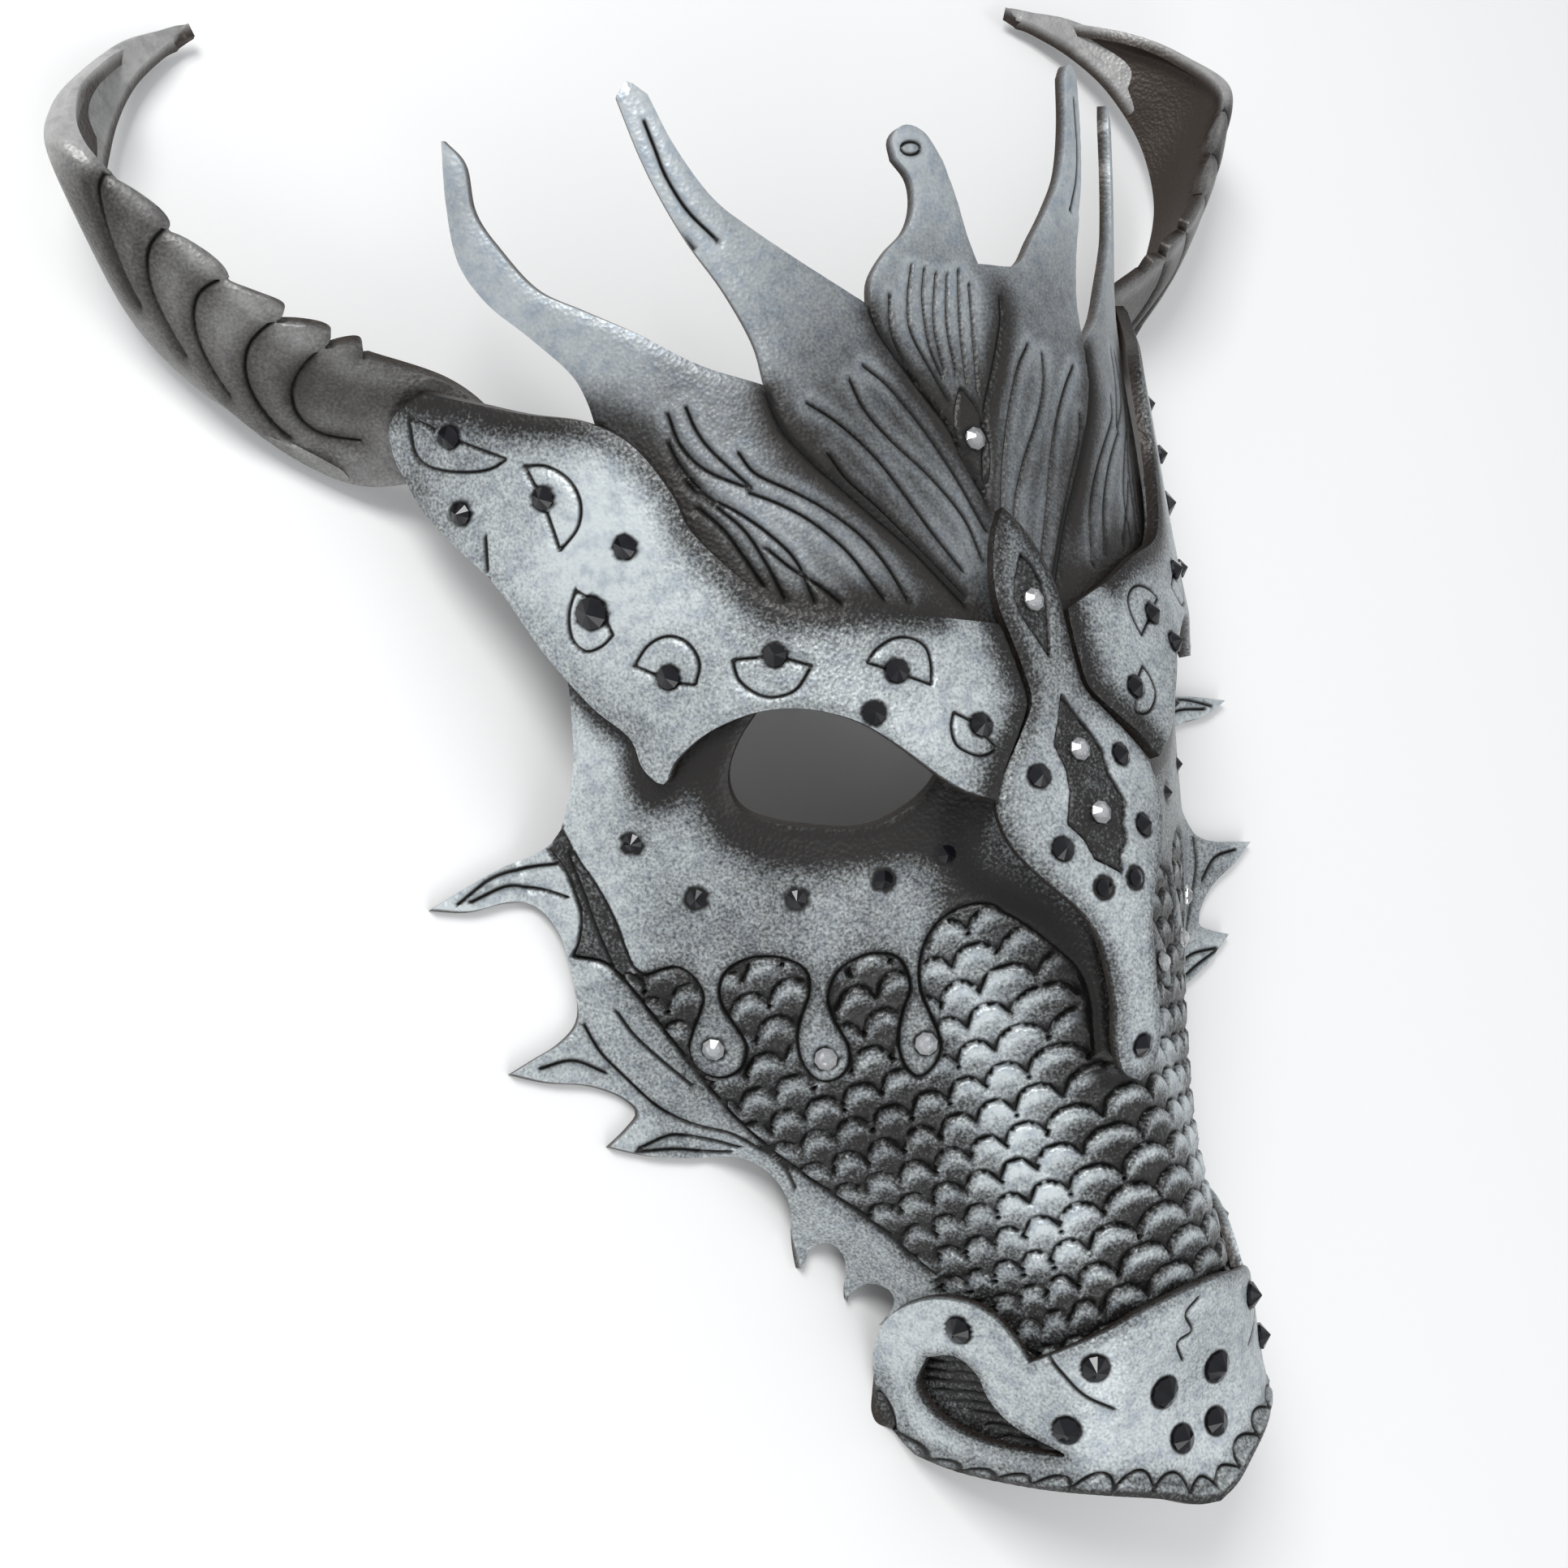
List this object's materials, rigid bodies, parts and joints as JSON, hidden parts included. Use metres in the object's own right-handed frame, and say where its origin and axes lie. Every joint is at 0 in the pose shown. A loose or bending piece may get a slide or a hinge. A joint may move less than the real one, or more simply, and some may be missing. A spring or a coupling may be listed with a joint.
{
  "type": "dragon face mask",
  "caption": "Carved leather dragon face mask with curling horns, maned crown, brow, nose and muzzle plates, eye openings and set crystals.",
  "frame": {"origin": "centre of the mask's outline on the surface that it lies on, under the middle of its length and width", "axes": "+Z out of the face, +Y from the snout to the crown, +X to the side that is on the right when the mask is looked at face on"},
  "size_m": [0.254, 0.294, 0.0682],
  "materials": {
    "silver_leather": "airbrushed silver over dark leather, satin, speckled and dark in the carved lines",
    "dark_leather": "dark brown-grey with a metallic satin rub",
    "black_crystal": "gloss, faceted to a point",
    "clear_crystal": "gloss, clear, faceted"
  },
  "bodies": {
    "root": {"face_shell": "silver_leather", "mane": "dark_leather", "brow_plate_right": "silver_leather", "brow_plate_left": "silver_leather", "nose_plate": "silver_leather", "muzzle_plate": "silver_leather", "horn_right": "dark_leather", "horn_left": "dark_leather", "brow_crystal_right_1": "black_crystal", "brow_crystal_right_2": "black_crystal", "brow_crystal_right_3": "black_crystal", "brow_crystal_right_4": "black_crystal", "brow_crystal_right_5": "black_crystal", "brow_crystal_right_6": "black_crystal", "brow_crystal_right_7": "black_crystal", "brow_crystal_right_8": "black_crystal", "brow_crystal_right_9": "black_crystal", "brow_crystal_left_1": "black_crystal", "brow_crystal_left_2": "black_crystal", "brow_crystal_left_3": "black_crystal", "brow_crystal_left_4": "black_crystal", "brow_crystal_left_5": "black_crystal", "brow_crystal_left_6": "black_crystal", "brow_crystal_left_7": "black_crystal", "brow_crystal_left_8": "black_crystal", "brow_crystal_left_9": "black_crystal", "brow_big_crystal_right": "black_crystal", "brow_big_crystal_left": "black_crystal", "cheek_crystal_right_1": "black_crystal", "cheek_crystal_right_2": "black_crystal", "cheek_crystal_right_3": "black_crystal", "cheek_crystal_right_4": "black_crystal", "cheek_crystal_left_1": "black_crystal", "cheek_crystal_left_2": "black_crystal", "cheek_crystal_left_3": "black_crystal", "cheek_crystal_left_4": "black_crystal", "nose_crystal_right_1": "black_crystal", "nose_crystal_right_2": "black_crystal", "nose_crystal_left_1": "black_crystal", "nose_crystal_left_2": "black_crystal", "nose_tip_crystal": "black_crystal", "muzzle_big_crystal_right": "black_crystal", "muzzle_big_crystal_left": "black_crystal", "muzzle_crystal_right_1": "black_crystal", "muzzle_crystal_right_2": "black_crystal", "muzzle_crystal_right_3": "black_crystal", "muzzle_crystal_left_1": "black_crystal", "muzzle_crystal_left_2": "black_crystal", "muzzle_crystal_left_3": "black_crystal", "drip_crystal_right_1": "clear_crystal", "drip_crystal_right_2": "clear_crystal", "drip_crystal_right_3": "clear_crystal", "drip_crystal_left_1": "clear_crystal", "drip_crystal_left_2": "clear_crystal", "drip_crystal_left_3": "clear_crystal", "nose_clear_crystal_1": "clear_crystal", "nose_clear_crystal_2": "clear_crystal", "nose_clear_crystal_3": "clear_crystal", "mane_crystal": "clear_crystal"}
  },
  "joints": []
}
